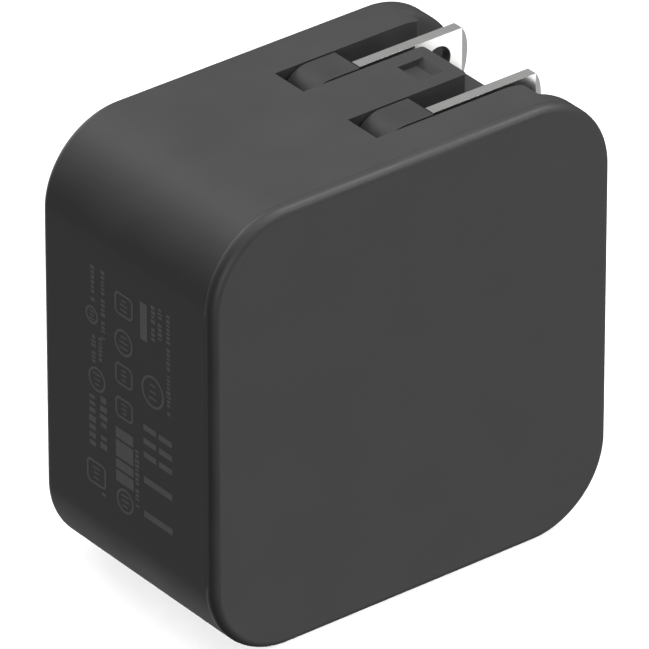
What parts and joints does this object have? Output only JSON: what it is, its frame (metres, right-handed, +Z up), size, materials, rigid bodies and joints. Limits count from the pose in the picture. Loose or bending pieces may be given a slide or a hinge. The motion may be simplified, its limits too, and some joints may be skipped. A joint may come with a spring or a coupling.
{
  "type": "usb wall charger",
  "caption": "Square, flat-sided mains charger with round corners, a two-blade plug that folds flush into a pocket in its top face, and a USB-C port in its bottom face.",
  "frame": {"origin": "middle of the bottom face, the face with the USB port", "axes": "+X right towards the folded blades' tips, +Y from the front cover to the back wall, +Z up to the face with the folding plug"},
  "size_m": [0.054, 0.0302, 0.054],
  "materials": {
    "case_plastic": "fine matte texture, dark grey",
    "cover_plastic": "fine matte texture, dark grey",
    "hinge_plastic": "smooth matte, dark grey",
    "plated_blade": "bright nickel plating",
    "retainer_plastic": "moulded, black",
    "screw_steel": "zinc plated",
    "spring_steel": "plain spring steel",
    "spring_bronze": "plain phosphor bronze",
    "wire_insulation": "soft insulation, red",
    "circuit_board": "green solder mask",
    "port_shell": "plated steel shell",
    "port_plastic": "black insert",
    "fuse_sleeve": "shrink sleeve, green",
    "film_capacitor": "yellow case",
    "ceramic_disc": "blue dipped coating",
    "chip_epoxy": "black moulded epoxy",
    "ferrite": "dark grey ground ferrite",
    "copper_winding": "enamelled copper",
    "capacitor_sleeve": "dark blue shrink sleeve",
    "bobbin_plastic": "moulded, black",
    "winding_tape": "yellow insulating tape",
    "aluminium_sheet": "rolled sheet",
    "insulation_film": "thin insulating film"
  },
  "bodies": {
    "charger": {"main_housing": "case_plastic", "front_cover": "cover_plastic", "hinge_retainer": "retainer_plastic", "retainer_screw_left": "screw_steel", "retainer_screw_right": "screw_steel", "detent_spring": "spring_steel", "contact_spring_line": "spring_bronze", "contact_spring_neutral": "spring_bronze", "lead_wire_line": "wire_insulation", "lead_wire_neutral": "wire_insulation", "mains_board": "circuit_board", "usb_board": "circuit_board", "usb_shell": "port_shell", "usb_tongue": "port_plastic", "fuse": "fuse_sleeve", "x_capacitor": "film_capacitor", "y_capacitor": "ceramic_disc", "bridge_rectifier": "chip_epoxy", "choke_core": "ferrite", "choke_winding_line": "copper_winding", "choke_winding_neutral": "copper_winding", "bulk_capacitor_lower": "capacitor_sleeve", "bulk_capacitor_upper": "capacitor_sleeve", "transformer_core_lower": "ferrite", "transformer_core_upper": "ferrite", "transformer_bobbin": "bobbin_plastic", "transformer_winding": "winding_tape", "power_switch": "chip_epoxy", "control_chip": "chip_epoxy", "heat_spreader": "aluminium_sheet", "front_heat_plate": "aluminium_sheet", "insulation_sheet": "insulation_film", "output_choke": "ferrite", "output_capacitor_1": "capacitor_sleeve", "output_capacitor_2": "capacitor_sleeve", "board_connector": "bobbin_plastic"},
    "plug": {"blade_carrier": "hinge_plastic", "blade_line": "plated_blade", "blade_neutral": "plated_blade"}
  },
  "joints": [
    {"name": "plug_fold", "type": "hinge", "parent": "charger", "child": "plug", "pos_m": [0.004, 0, 0.0501], "axis": [0, -1, 0], "range_deg": [0, 90]}
  ]
}
